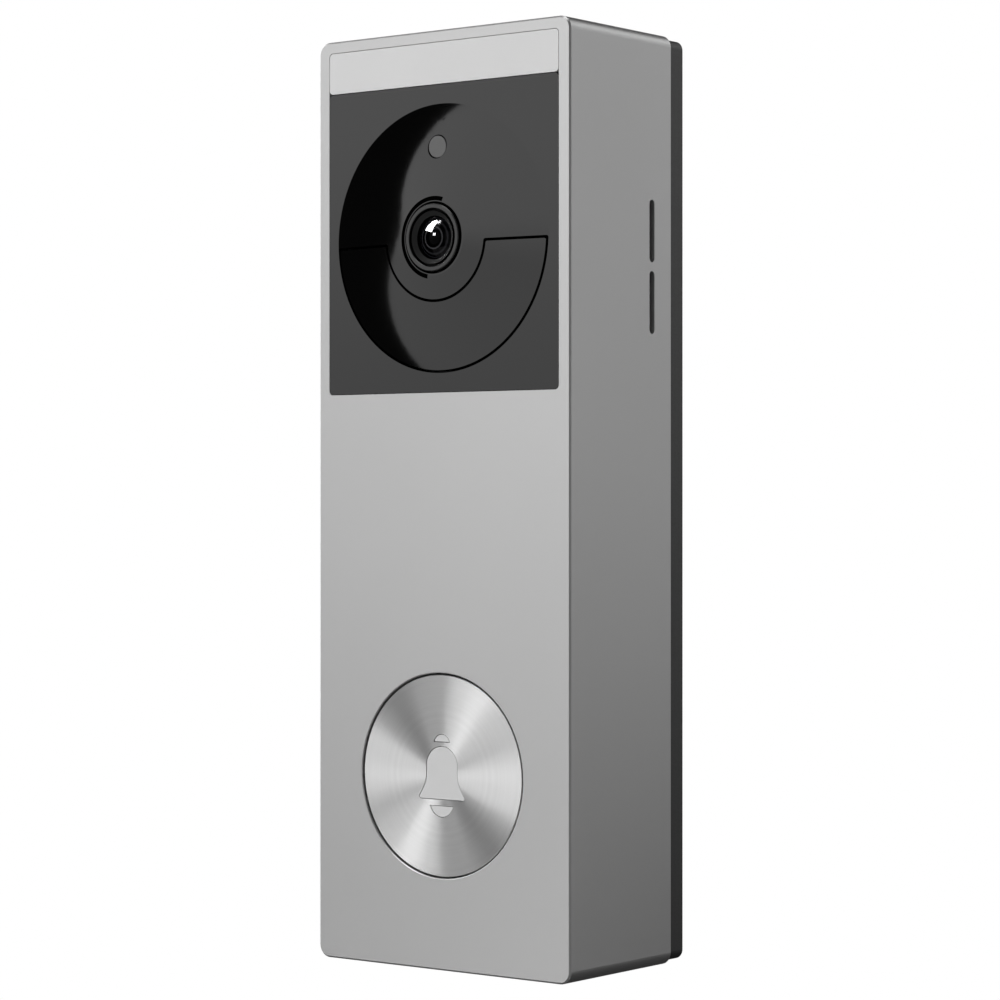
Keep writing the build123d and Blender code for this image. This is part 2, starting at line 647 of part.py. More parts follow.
with BuildPart() as chassis:
    # lower plate behind the button, upper plate behind the camera window, and the step between
    extrude(
        rectangle(
            LOWER_PLATE, 2 * plate_half_x, STEP_Z - lower_bottom, z=(STEP_Z + lower_bottom) / 2
        ),
        amount=PLATE_THICK,
    )
    extrude(
        rectangle(
            UPPER_PLATE,
            2 * plate_half_x,
            upper_top - STEP_Z + PLATE_THICK,
            z=(upper_top + STEP_Z - PLATE_THICK) / 2,
        ),
        amount=PLATE_THICK,
    )
    extrude(
        rectangle(LOWER_PLATE, 2 * plate_half_x, PLATE_THICK, z=STEP_Z - PLATE_THICK / 2),
        amount=UPPER_PLATE - LOWER_PLATE,
    )
    # well round the button
    extrude(
        discs(LOWER_PLATE, BUTTON_WELL_R, [(0, BUTTON_Z)]), amount=WELL_END - LOWER_PLATE
    )
    extrude(
        discs(LOWER_PLATE + PLATE_THICK, BUTTON_WELL_INNER_R, [(0, BUTTON_Z)]),
        amount=WELL_END,
        mode=Mode.SUBTRACT,
    )
    # notch in the well for the flat cable
    extrude(
        rectangle(LOWER_PLATE + PLATE_THICK, RIBBON_WIDTH + 1.2, 15, x=RIBBON_X, z=-29.0),
        amount=BUTTON_BOARD - LOWER_PLATE - PLATE_THICK + 0.4,
        mode=Mode.SUBTRACT,
    )
    # posts that carry the boards
    extrude(
        discs(LOWER_PLATE, 1.5, button_posts), amount=BUTTON_BOARD - LOWER_PLATE
    )
    extrude(
        discs(MAIN_BOARD + BOARD_THICK, 1.8, board_posts),
        amount=LOWER_PLATE - MAIN_BOARD - BOARD_THICK,
    )
    extrude(
        discs(LOWER_PLATE, 1.8, corners(21.0, (66.0,))), amount=UPPER_PLATE - LOWER_PLATE
    )
    extrude(
        discs(SENSOR_BOARD + BOARD_THICK, 1.6, sensor_posts),
        amount=UPPER_PLATE - SENSOR_BOARD - BOARD_THICK,
    )
    # ribs on both sides of the battery
    for side in (-1, 1):
        extrude(
            rectangle(
                BATTERY_REAR,
                1.2,
                BATTERY_TOP - BATTERY_BOTTOM,
                x=side * (BATTERY_X + 0.8),
                z=(BATTERY_TOP + BATTERY_BOTTOM) / 2,
            ),
            amount=LOWER_PLATE - BATTERY_REAR,
        )
    # windows for the lens, the motion sensor, the infrared lamps and the light sensor
    for radius, places in (
        (7.7, [(0, CAMERA_Z)]),
        (5.0, [(0, PIR_Z)]),
        (2.1, ir_places),
        (2.2, [(0, SENSOR_WINDOW_Z)]),
    ):
        extrude(discs(UPPER_PLATE, radius, places), amount=PLATE_THICK, mode=Mode.SUBTRACT)
    # screw holes and the slot for the flat cable
    for level, radius, places, depth in (
        (LOWER_PLATE, 1.1, chassis_screw_places, PLATE_THICK),
        (MAIN_BOARD + BOARD_THICK, 0.8, board_posts, 5.0),
    ):
        extrude(discs(level, radius, places), amount=depth, mode=Mode.SUBTRACT)
    extrude(
        rectangle(LOWER_PLATE, RIBBON_WIDTH + 1.2, 2.4, x=RIBBON_X, z=-18.0),
        amount=PLATE_THICK,
        mode=Mode.SUBTRACT,
    )
chassis.part.label = "chassis"

with BuildPart() as chassis_screws:
    extrude(discs(LOWER_PLATE, CHASSIS_SCREW_R - FIT / 2, chassis_screw_places), amount=6.0)
    extrude(discs(LOWER_PLATE - 1.1, 1.9, chassis_screw_places), amount=1.1)
    extrude(discs(LOWER_PLATE - 1.1, 0.6, chassis_screw_places), amount=0.7, mode=Mode.SUBTRACT)
chassis_screws.part.label = "chassis_screws"

# ---------------------------------------------------------------- main board
main_top, main_bottom = 71.0, -15.0
with BuildPart() as main_board:
    extrude(
        rectangle(
            MAIN_BOARD, 46, main_top - main_bottom, z=(main_top + main_bottom) / 2, corner=1.5
        ),
        amount=BOARD_THICK,
    )
    extrude(discs(MAIN_BOARD, 0.9, board_posts), amount=BOARD_THICK, mode=Mode.SUBTRACT)
main_board.part.label = "main_board"

with BuildPart() as board_screws:
    extrude(discs(MAIN_BOARD, 0.75, board_posts), amount=5.4)
    extrude(discs(MAIN_BOARD - 0.9, 1.6, board_posts), amount=0.9)
board_screws.part.label = "board_screws"

with BuildPart() as processor_shield:
    extrude(
        rectangle(MAIN_BOARD + BOARD_THICK, 24, 18, x=4.0, z=14.0, corner=1.0), amount=2.2
    )
    extrude(
        rectangle(MAIN_BOARD + BOARD_THICK, 23.4, 17.4, x=4.0, z=14.0),
        amount=1.9,
        mode=Mode.SUBTRACT,
    )
processor_shield.part.label = "processor_shield"

with BuildPart() as board_chips:
    chip_base = MAIN_BOARD + BOARD_THICK
    for x, z, width, height, thick in (
        (0.0, 14.0, 11.0, 11.0, 1.2),
        (11.5, 14.0, 6.0, 8.0, 1.0),
        (-14.0, 12.0, 7.0, 9.0, 1.4),
        (-13.0, -4.0, 5.0, 5.0, 1.0),
        (13.0, -6.0, 8.0, 6.0, 1.2),
    ):
        extrude(rectangle(chip_base, width, height, x, z), amount=thick)
board_chips.part.label = "board_chips"

with BuildPart() as board_connectors:
    extrude(
        rectangle(MAIN_BOARD + BOARD_THICK, 12, 3, z=32.5),
        amount=CAMERA_BOARD - MAIN_BOARD - BOARD_THICK,
    )
    extrude(
        rectangle(CAMERA_BOARD + 1.0, 12, 3, z=57.0), amount=SENSOR_BOARD - CAMERA_BOARD - 1.0
    )
    extrude(rectangle(MAIN_BOARD + BOARD_THICK, 9.6, 4.0, x=RIBBON_X, z=-10.0), amount=1.6)
board_connectors.part.label = "board_connectors"

with BuildPart() as wifi_antenna:
    extrude(rectangle(UPPER_PLATE + PLATE_THICK, 38, 4.2, z=67.0, corner=0.5), amount=0.3)
wifi_antenna.part.label = "wifi_antenna"

# ---------------------------------------------------------------- speaker and microphone
speaker_x = (SPEAKER_LEFT + SPEAKER_RIGHT) / 2
speaker_z = (SPEAKER_BOTTOM + SPEAKER_TOP) / 2
speaker_width = SPEAKER_RIGHT - SPEAKER_LEFT
speaker_height = SPEAKER_TOP - SPEAKER_BOTTOM
PORT_LOW, PORT_HIGH = SLOT_LEVEL - 0.9, SLOT_LEVEL + 0.9
CONE_LEVEL = PORT_HIGH + 0.2
port_length = SPEAKER_TOP - SPEAKER_BOTTOM - 4.0

with BuildPart() as speaker_box:
    extrude(
        rectangle(SPEAKER_REAR, speaker_width, speaker_height, speaker_x, speaker_z, corner=1.0),
        amount=SPEAKER_FRONT - SPEAKER_REAR,
    )
    extrude(
        rectangle(
            SPEAKER_REAR + SPEAKER_WALL,
            speaker_width - 2 * SPEAKER_WALL,
            speaker_height - 2 * SPEAKER_WALL,
            speaker_x,
            speaker_z,
        ),
        amount=SPEAKER_FRONT - SPEAKER_REAR - 2 * SPEAKER_WALL,
        mode=Mode.SUBTRACT,
    )
    with BuildSketch(Plane.YZ.offset(SPEAKER_RIGHT - 2 * SPEAKER_WALL)):
        with Locations((-SLOT_LEVEL, speaker_z)):
            Rectangle(PORT_HIGH - PORT_LOW, port_length)
    extrude(amount=4, mode=Mode.SUBTRACT)
speaker_box.part.label = "speaker_box"

with BuildPart() as speaker_driver:
    driver_size = (speaker_width - 2 * SPEAKER_WALL - 0.2, speaker_height - 2 * SPEAKER_WALL - 0.2)
    extrude(
        rectangle(CONE_LEVEL + 0.5, driver_size[0], driver_size[1], speaker_x, speaker_z),
        amount=1.2,
    )
    extrude(
        rectangle(CONE_LEVEL + 0.5, driver_size[0] - 3, driver_size[1] - 3, speaker_x, speaker_z),
        amount=1.2,
        mode=Mode.SUBTRACT,
    )
    extrude(
        rectangle(CONE_LEVEL + 1.7, driver_size[0], driver_size[1], speaker_x, speaker_z),
        amount=SPEAKER_FRONT - SPEAKER_WALL - CONE_LEVEL - 1.8,
    )
speaker_driver.part.label = "speaker_driver"

with BuildPart() as speaker_cone:
    extrude(
        rectangle(CONE_LEVEL, driver_size[0] - 0.4, driver_size[1] - 0.4, speaker_x, speaker_z),
        amount=0.4,
    )
    extrude(
        rectangle(CONE_LEVEL - 0.4, 6, 16, speaker_x, speaker_z, corner=2.9), amount=0.6
    )
speaker_cone.part.label = "speaker_cone"

with BuildPart() as speaker_gasket:
    with BuildSketch(Plane.YZ.offset(SPEAKER_RIGHT)):
        with Locations((-SLOT_LEVEL - 0.3, speaker_z)):
            Rectangle(3.6, speaker_height)
        with Locations((-SLOT_LEVEL, speaker_z)):
            Rectangle(PORT_HIGH - PORT_LOW, port_length, mode=Mode.SUBTRACT)
    extrude(amount=INSIDE_X - SPEAKER_RIGHT - 0.3)
speaker_gasket.part.label = "speaker_gasket"

with BuildPart() as speaker_mesh:
    with BuildSketch(Plane.YZ.offset(INSIDE_X - 0.3)):
        with Locations((-SLOT_LEVEL - 0.3, speaker_z)):
            Rectangle(3.6, speaker_height)
    extrude(amount=0.3)
speaker_mesh.part.label = "speaker_mesh"

BOOT_HEIGHT = 1.4
with BuildPart() as microphone_boot:
    with BuildSketch(Plane.XY.offset(-INSIDE_Z)):
        with Locations((0, -MIC_LEVEL)):
            RectangleRounded(6, 5, 0.6)
            Circle(MIC_HOLE_R, mode=Mode.SUBTRACT)
    extrude(amount=BOOT_HEIGHT)
microphone_boot.part.label = "microphone_boot"

with BuildPart() as microphone:
    with BuildSketch(Plane.XY.offset(-INSIDE_Z + BOOT_HEIGHT)):
        with Locations((0, -MIC_LEVEL)):
            Rectangle(3.8, 2.8)
    extrude(amount=1.0)
microphone.part.label = "microphone"

with BuildPart() as microphone_board:
    with BuildSketch(Plane.XY.offset(-INSIDE_Z + BOOT_HEIGHT + 1.0)):
        with Locations((0, -MIC_LEVEL)):
            RectangleRounded(12, 5.4, 0.5)
    extrude(amount=0.8)
microphone_board.part.label = "microphone_board"

# ---------------------------------------------------------------- battery
battery_z = (BATTERY_TOP + BATTERY_BOTTOM) / 2
with BuildPart() as battery_pack:
    extrude(
        rectangle(
            BATTERY_REAR,
            2 * BATTERY_X - 0.4,
            BATTERY_TOP - BATTERY_BOTTOM - 0.6,
            z=battery_z,
            corner=2.0,
        ),
        amount=BATTERY_FRONT - BATTERY_REAR,
    )
    side_edges = battery_pack.faces().sort_by(Axis.Y)[0].outer_wire().edges()
    chamfer(side_edges, 0.8)
battery_pack.part.label = "battery_pack"

with BuildPart() as battery_pad:
    extrude(
        rectangle(BATTERY_FRONT, 28, 40, z=battery_z, corner=1.0), amount=LOWER_PLATE - BATTERY_FRONT
    )
battery_pad.part.label = "battery_pad"

LEAD_R = 0.6
with BuildPart() as battery_lead:
    lead_start = BATTERY_TOP - 0.3
    lead_end = MAIN_BOARD + BOARD_THICK
    for x in (-17.2, -15.6):
        with BuildLine() as lead_path:
            FilletPolyline(
                (x, -19.6, lead_start),
                (x, -19.6, -12.0),
                (x, -lead_end, -12.0),
                radius=1.2,
            )
        with BuildSketch(Plane(origin=(x, -19.6, lead_start), z_dir=(0, 0, 1))):
            Circle(LEAD_R)
        sweep(path=lead_path.wire())
battery_lead.part.label = "battery_lead"

# ---------------------------------------------------------------- bell button
CAP_FRONT = FRONT - BUTTON_RECESS
CAP_REAR = CAP_FRONT - CAP_THICK
FLANGE_REAR, FLANGE_FRONT = 30.1, FRONT - FACE - 0.05
FLANGE_R = 19.0
GUIDE_R = 9.5
GUIDE_THICK = 0.8
SWITCH_BASE = BUTTON_BOARD + BUTTON_BOARD_THICK
SWITCH_HEIGHT = 1.7
SWITCH_FLOOR = 0.3  # bottom of the hole that the plunger drops into
PRESSED_GAP = 0.1  # what is left under the plunger and the stem at full travel
STEM_REAR = SWITCH_BASE + SWITCH_HEIGHT + BUTTON_TRAVEL + PRESSED_GAP
STEM_R = 2.4
PLUNGER_R = 1.7


def bell_icon(level, grow):
    """A bell: a short cap above, a flared body, a clapper below, all larger by grow."""
    shoulder, waist, lip = 3.3 + grow, 3.55 + grow, 4.95 + grow
    lip_top, lip_bottom = -3.7, -4.0 - grow
    with BuildSketch(out(level, BUTTON_Z)) as icon:
        with BuildLine():
            ThreePointArc((-shoulder, 1.9), (0, 4.95 + grow), (shoulder, 1.9))
            Spline((shoulder, 1.9), (waist, -1.2), (lip, lip_top), tangents=((0, -1), (0.6, -1)))
            Polyline((lip, lip_top), (4.6, lip_bottom), (-4.6, lip_bottom), (-lip, lip_top))
            Spline((-lip, lip_top), (-waist, -1.2), (-shoulder, 1.9), tangents=((0.6, 1), (0, 1)))
        make_face()
        for half, flat, tip in ((1.6, 5.8 - grow, 7.0 + grow), (2.4, -5.2 + grow, -7.0 - grow)):
            half += 1.5 * grow
            with BuildLine():
                ThreePointArc((-half, flat), (0, tip), (half, flat))
                Line((half, flat), (-half, flat))
            make_face()
    return icon.sketch


with BuildPart() as button_cap:
    extrude(discs(CAP_REAR, BUTTON_R, [(0, BUTTON_Z)]), amount=CAP_THICK)
    cap_rim = button_cap.faces().sort_by(Axis.Y)[0].outer_wire().edges()
    chamfer(cap_rim, 0.12)
    extrude(bell_icon(CAP_REAR, ICON_GAP), amount=CAP_THICK, mode=Mode.SUBTRACT)
button_cap.part.label = "button_cap"

with BuildPart() as bell_light_guide:
    extrude(discs(CAP_REAR - GUIDE_THICK, GUIDE_R, [(0, BUTTON_Z)]), amount=GUIDE_THICK)
    extrude(bell_icon(CAP_REAR, 0), amount=CAP_THICK - 0.05)
    extrude(discs(STEM_REAR, STEM_R, [(0, BUTTON_Z)]), amount=CAP_REAR - GUIDE_THICK - STEM_REAR)
bell_light_guide.part.label = "bell_light_guide"

with BuildPart() as button_carrier:
    section = [
        (FLANGE_REAR, GUIDE_R - 1.6),
        (FLANGE_REAR, FLANGE_R),
        (FLANGE_FRONT, FLANGE_R),
        (FLANGE_FRONT, BUTTON_R),
        (CAP_REAR, BUTTON_R),
        (CAP_REAR, GUIDE_R + FIT),
        (CAP_REAR - GUIDE_THICK, GUIDE_R + FIT),
        (CAP_REAR - GUIDE_THICK, GUIDE_R - 1.6),
    ]
    revolve(turned(section, BUTTON_Z), axis=turning_axis(BUTTON_Z))
button_carrier.part.label = "button_carrier"

with BuildPart() as switch_plunger:
    plunger_rear = SWITCH_BASE + SWITCH_FLOOR + BUTTON_TRAVEL + PRESSED_GAP
    extrude(discs(plunger_rear, PLUNGER_R, [(0, BUTTON_Z)]), amount=STEM_REAR - plunger_rear)
switch_plunger.part.label = "switch_plunger"

with BuildPart() as button_seal:
    revolve(
        turned(ring_points(WELL_END, FRONT - FACE, FLANGE_R + 0.3, BUTTON_WELL_R), BUTTON_Z),
        axis=turning_axis(BUTTON_Z),
    )
button_seal.part.label = "button_seal"

with BuildPart() as button_board:
    extrude(discs(BUTTON_BOARD, 17.0, [(0, BUTTON_Z)]), amount=BUTTON_BOARD_THICK)
button_board.part.label = "button_board"

with BuildPart() as button_switch:
    extrude(rectangle(SWITCH_BASE, 6.2, 6.2, z=BUTTON_Z, corner=0.4), amount=SWITCH_HEIGHT)
    extrude(
        discs(SWITCH_BASE + SWITCH_FLOOR, PLUNGER_R + RUNNING, [(0, BUTTON_Z)]),
        amount=SWITCH_HEIGHT,
        mode=Mode.SUBTRACT,
    )
button_switch.part.label = "button_switch"

with BuildPart() as button_lamps:
    with BuildSketch(out(SWITCH_BASE)):
        with Locations((0, BUTTON_Z)):
            with PolarLocations(6.4, 6):
                Rectangle(1.8, 1.8)
    extrude(amount=0.7)
button_lamps.part.label = "button_lamps"

with BuildPart() as button_cable:
    ribbon_front = BUTTON_BOARD - 0.15
    with BuildSketch(Plane.YZ.offset(RIBBON_X - RIBBON_WIDTH / 2)):
        with BuildLine():
            FilletPolyline(
                (-ribbon_front, BUTTON_Z + 11.5),
                (-ribbon_front, -18.0),
                (-(MAIN_BOARD + BOARD_THICK + 0.9), -18.0),
                (-(MAIN_BOARD + BOARD_THICK + 0.9), -12.05),
                radius=1.5,
            )
        trace(line_width=0.3)
    extrude(amount=RIBBON_WIDTH)
button_cable.part.label = "button_cable"

# ---------------------------------------------------------------- rear cover
cover_size = (WIDTH - 2 * REBATE_WALL - 2 * FIT, HEIGHT - 2 * REBATE_WALL - 2 * FIT)
COVER_FRONT = REAR + COVER_THICK
POCKET_DEPTH = HEAD_END + 0.6
door_lug_x = DOOR_WIDTH / 2 + 0.9
POCKET_TOP_GAP = 0.05
ENTRY_HEIGHT = 4.6

with BuildPart() as rear_cover:
    extrude(rectangle(REAR, *cover_size, corner=0.9), amount=COVER_THICK)
    # wiring bay: outer walls, then the hollow
    extrude(
        rectangle(REAR, BAY_WIDTH + 2 * POCKET_WALL, BAY_HEIGHT + 2 * POCKET_WALL, corner=2.0),
        amount=BAY_FLOOR + POCKET_WALL - REAR,
    )
    extrude(
        rectangle(REAR, BAY_WIDTH, BAY_HEIGHT, corner=1.5),
        amount=BAY_FLOOR - REAR,
        mode=Mode.SUBTRACT,
    )
    # pockets for the bracket hooks: a wide entry below a narrow slot
    for x, z in hook_places:
        pocket_top = z + HEAD_HEIGHT / 2 + 0.6
        pocket_bottom = z - LIFT - ENTRY_HEIGHT / 2 - 0.3
        pocket_height = pocket_top - pocket_bottom
        pocket_middle = (pocket_top + pocket_bottom) / 2
        extrude(
            rectangle(
                REAR,
                HEAD_WIDTH + 1.2 + 2 * POCKET_WALL,
                pocket_height + 2 * POCKET_WALL,
                x,
                pocket_middle,
            ),
            amount=POCKET_DEPTH + POCKET_WALL - REAR,
        )
    for x, z in hook_places:
        pocket_top = z + HEAD_HEIGHT / 2 + 0.6
        pocket_bottom = z - LIFT - ENTRY_HEIGHT / 2 - 0.3
        extrude(
            rectangle(
                REAR + LIP,
                HEAD_WIDTH + 1.2,
                pocket_top - pocket_bottom,
                x,
                (pocket_top + pocket_bottom) / 2,
            ),
            amount=POCKET_DEPTH - REAR - LIP,
            mode=Mode.SUBTRACT,
        )
        slot_top = z + STEM_HEIGHT / 2 + POCKET_TOP_GAP
        slot_height = slot_top - z + LIFT
        extrude(
            rectangle(REAR, STEM_WIDTH + 0.5, slot_height, x, slot_top - slot_height / 2),
            amount=LIP,
            mode=Mode.SUBTRACT,
        )
        extrude(
            rectangle(REAR, HEAD_WIDTH + 0.6, ENTRY_HEIGHT, x, z - LIFT),
            amount=LIP,
            mode=Mode.SUBTRACT,
        )
    # dimples in front of the wall screw heads
    extrude(discs(REAR, WALL_SCREW_HEAD_R + 0.6, wall_screws), amount=1.0, mode=Mode.SUBTRACT)
    # lug that the security screw locks
    extrude(
        rectangle(LUG_REAR, LUG_WIDTH, LUG_TOP - LUG_BOTTOM, z=(LUG_TOP + LUG_BOTTOM) / 2),
        amount=REAR - LUG_REAR,
    )
    with BuildSketch(Plane.XY.offset(LUG_BOTTOM)):
        with Locations((0, -LOCK_LEVEL)):
            Circle(LOCK_SCREW_R + RUNNING)
    extrude(amount=LUG_TOP - LUG_BOTTOM, mode=Mode.SUBTRACT)
    # cover screws, with sunk heads
    extrude(discs(REAR, COVER_SCREW_R + 0.15, cover_screws), amount=COVER_THICK, mode=Mode.SUBTRACT)
    extrude(discs(REAR, 2.1, cover_screws), amount=1.1, mode=Mode.SUBTRACT)
    # holes in the bay floor for the charging port and the reset button
    extrude(
        rectangle(BAY_FLOOR, PORT_WIDTH + 0.4, PORT_HEIGHT + 0.4, z=PORT_Z, corner=1.8),
        amount=POCKET_WALL,
        mode=Mode.SUBTRACT,
    )
    extrude(
        discs(BAY_FLOOR, RESET_R + RUNNING, [(RESET_X, RESET_Z)]),
        amount=POCKET_WALL,
        mode=Mode.SUBTRACT,
    )
    # two lugs that hold the port door's pins
    for side in (-1, 1):
        extrude(
            rectangle(
                DOOR_AXIS_LEVEL - 0.95, 1.2, 2.2, side * door_lug_x, DOOR_AXIS_Z
            ),
            amount=BAY_FLOOR - DOOR_AXIS_LEVEL + 0.95,
        )
    with BuildSketch(Plane.YZ.offset(-door_lug_x - 1)):
        with Locations((-DOOR_AXIS_LEVEL, DOOR_AXIS_Z)):
            Circle(0.45 + RUNNING)
    extrude(amount=2 * door_lug_x + 2, mode=Mode.SUBTRACT)
rear_cover.part.label = "rear_cover"

with BuildPart() as rear_seal:
    extrude(
        frame(
            COVER_FRONT,
            (cover_size[0] - 0.2, cover_size[1] - 0.2),
            (2 * INSIDE_X, 2 * INSIDE_Z),
            0.9,
        ),
        amount=SEAL_THICK,
    )
    extrude(discs(COVER_FRONT, BOSS_R, cover_screws), amount=SEAL_THICK)
    extrude(
        discs(COVER_FRONT, COVER_SCREW_R + 0.15, cover_screws),
        amount=SEAL_THICK,
        mode=Mode.SUBTRACT,
    )
rear_seal.part.label = "rear_seal"

with BuildPart() as cover_screws_set:
    extrude(discs(REAR + 1.1, COVER_SCREW_R - FIT / 2, cover_screws), amount=8.6)
    extrude(discs(REAR + 0.1, 1.9, cover_screws), amount=1.0)
    extrude(discs(REAR + 0.1, 0.6, cover_screws), amount=0.6, mode=Mode.SUBTRACT)
cover_screws_set.part.label = "rear_cover_screws"

# ---------------------------------------------------------------- wiring bay
TERMINAL_WIDTH, TERMINAL_HEIGHT, TERMINAL_DEPTH = 18.0, 8.6, 3.6
TERMINAL_Z = 13.4
terminal_places = [(-4.6, TERMINAL_Z), (4.6, TERMINAL_Z)]
with BuildPart() as terminal_block:
    terminal_rear = BAY_FLOOR - TERMINAL_DEPTH
    extrude(
        rectangle(terminal_rear, TERMINAL_WIDTH, TERMINAL_HEIGHT, z=TERMINAL_Z, corner=0.6),
        amount=TERMINAL_DEPTH,
    )
    extrude(
        rectangle(terminal_rear, 1.0, TERMINAL_HEIGHT - 2, z=TERMINAL_Z),
        amount=1.4,
        mode=Mode.SUBTRACT,
    )
    extrude(discs(terminal_rear, 1.3, terminal_places), amount=3.0, mode=Mode.SUBTRACT)
terminal_block.part.label = "terminal_block"

with BuildPart() as terminal_screws:
    extrude(discs(terminal_rear, 1.25, terminal_places), amount=2.8)
    extrude(discs(terminal_rear - 0.8, 2.6, terminal_places), amount=0.8)
    with BuildSketch(out(terminal_rear - 0.8)):
        with Locations(*terminal_places):
            Rectangle(4.0, 0.7)
            Rectangle(0.7, 4.0)
    extrude(amount=0.5, mode=Mode.SUBTRACT)
terminal_screws.part.label = "terminal_screws"

with BuildPart() as charging_port:
    port_rear = BAY_FLOOR + 0.1
    extrude(
        rectangle(port_rear, PORT_WIDTH, PORT_HEIGHT, z=PORT_Z, corner=1.6),
        amount=MAIN_BOARD - port_rear,
    )
    extrude(
        rectangle(port_rear, PORT_WIDTH - 0.7, PORT_HEIGHT - 0.7, z=PORT_Z, corner=1.2),
        amount=3.0,
        mode=Mode.SUBTRACT,
    )
    extrude(rectangle(port_rear + 0.6, PORT_WIDTH - 2.6, 0.7, z=PORT_Z), amount=2.6)
charging_port.part.label = "charging_port"

with BuildPart() as port_door:
    door_level = DOOR_AXIS_LEVEL - DOOR_THICK / 2
    extrude(
        rectangle(
            door_level, DOOR_WIDTH, DOOR_LENGTH, z=DOOR_AXIS_Z - DOOR_LENGTH / 2, corner=0.6
        ),
        amount=DOOR_THICK,
    )
    # barrel and pins along the upper edge, and a thumb ridge along the lower one
    with BuildSketch(Plane.YZ.offset(-DOOR_WIDTH / 2)):
        with Locations((-DOOR_AXIS_LEVEL, DOOR_AXIS_Z)):
            Circle(0.75)
    extrude(amount=DOOR_WIDTH)
    pin_half = DOOR_WIDTH / 2 + 1.4
    with BuildSketch(Plane.YZ.offset(-pin_half)):
        with Locations((-DOOR_AXIS_LEVEL, DOOR_AXIS_Z)):
            Circle(0.45)
    extrude(amount=2 * pin_half)
    extrude(
        rectangle(door_level - 0.5, 8.0, 1.0, z=DOOR_AXIS_Z - DOOR_LENGTH + 1.4), amount=0.5
    )
port_door.part.label = "port_door"

with BuildPart() as reset_button:
    flange_rear = BAY_FLOOR + POCKET_WALL + 0.02
    extrude(
        discs(BAY_FLOOR - 0.35, RESET_R, [(RESET_X, RESET_Z)]), amount=flange_rear - BAY_FLOOR + 0.35
    )
    extrude(discs(flange_rear, 2.3, [(RESET_X, RESET_Z)]), amount=0.6)
    extrude(discs(flange_rear, 0.7, [(RESET_X, RESET_Z)]), amount=1.4)
reset_button.part.label = "reset_button"

with BuildPart() as reset_switch:
    switch_rear = flange_rear + 0.6 + RESET_TRAVEL + 0.1
    extrude(
        rectangle(switch_rear, 3.6, 3.0, RESET_X, RESET_Z), amount=MAIN_BOARD - switch_rear
    )
    extrude(
        discs(switch_rear, 0.7 + RUNNING, [(RESET_X, RESET_Z)]), amount=1.2, mode=Mode.SUBTRACT
    )
reset_switch.part.label = "reset_switch"

# ---------------------------------------------------------------- files
pieces = [
    wall_bracket,
    security_screw,
    housing_shell,
    camera_fascia,
    pir_window,
    fascia_gasket,
    light_sensor_window,
    light_bar_diffuser,
    light_bar_board,
    light_bar_lamps,
    lens_trim_ring,
    lens_barrel,
    lens_front_element,
    lens_inner_elements,
    lens_seal,
    lens_holder,
    camera_board,
    image_sensor,
    sensor_board,
    pir_sensor,
    infrared_lamps,
    light_sensor,
    chassis,
    chassis_screws,
    main_board,
    board_screws,
    processor_shield,
    board_chips,
    board_connectors,
    wifi_antenna,
    speaker_box,
    speaker_driver,
    speaker_cone,
    speaker_gasket,
    speaker_mesh,
    microphone_boot,
    microphone,
    microphone_board,
    battery_pack,
    battery_pad,
    battery_lead,
    button_cap,
    bell_light_guide,
    button_carrier,
    switch_plunger,
    button_seal,
    button_board,
    button_switch,
    button_lamps,
    button_cable,
    rear_cover,
    rear_seal,
    cover_screws_set,
    terminal_block,
    terminal_screws,
    charging_port,
    port_door,
    reset_button,
    reset_switch,
]
os.makedirs("parts", exist_ok=True)
for piece in pieces:
    export_step(piece.part, f"parts/{piece.part.label}.step")
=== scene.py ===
import bpy
import bmesh
from math import asin, cos, pi, radians, sin, tan
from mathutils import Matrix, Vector


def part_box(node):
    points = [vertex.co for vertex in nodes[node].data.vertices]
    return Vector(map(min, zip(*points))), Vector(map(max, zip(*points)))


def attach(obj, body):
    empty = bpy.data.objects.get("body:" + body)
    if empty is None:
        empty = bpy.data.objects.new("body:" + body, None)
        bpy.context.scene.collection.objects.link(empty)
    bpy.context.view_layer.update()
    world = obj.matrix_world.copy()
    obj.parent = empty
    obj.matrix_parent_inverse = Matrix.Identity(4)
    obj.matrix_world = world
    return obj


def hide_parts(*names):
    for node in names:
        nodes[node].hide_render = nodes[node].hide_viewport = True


# The video doorbell's looks: every CAD node gets a procedural material, a finely divided front
# lens replaces the CAD one, the light is a plain studio, and the camera stands where the
# reference picture was taken from.
# Metres, in the frame of the CAD model: +Z up, the front faces -Y, the wall is the plane Y = 0.
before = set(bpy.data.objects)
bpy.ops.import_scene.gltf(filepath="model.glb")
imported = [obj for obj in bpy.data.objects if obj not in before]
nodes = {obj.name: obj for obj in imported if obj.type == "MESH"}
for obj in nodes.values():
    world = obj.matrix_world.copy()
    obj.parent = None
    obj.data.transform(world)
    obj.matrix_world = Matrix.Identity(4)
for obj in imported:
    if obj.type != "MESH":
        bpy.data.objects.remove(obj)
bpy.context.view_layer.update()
scene = bpy.context.scene
MM = 0.001

# ---------------------------------------------------------------- places, from the frame
shell_low, shell_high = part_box("housing_shell")
FRONT_Y = shell_low.y
HALF_WIDTH = shell_high.x
BOTTOM_Z, TOP_Z = shell_low.z, shell_high.z
cap_low, cap_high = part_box("button_cap")
BUTTON = Vector((0, cap_low.y, (cap_low.z + cap_high.z) / 2))
ring_low, ring_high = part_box("lens_trim_ring")
LENS = Vector((0, ring_low.y, (ring_low.z + ring_high.z) / 2))
DOME_TOP_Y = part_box("camera_fascia")[0].y  # the dome's flat top, round the lens
GROOVE_OUTER = 7.1 * MM  # outer radius of the groove round the lens
GROOVE_TOP = DOME_TOP_Y + 0.3 * MM  # deeper than this is the groove's floor
EDGE_FADE = 0.05 * MM  # how softly the matt floor of the groove ends
FLOOR_Z = BOTTOM_Z - 2 * MM


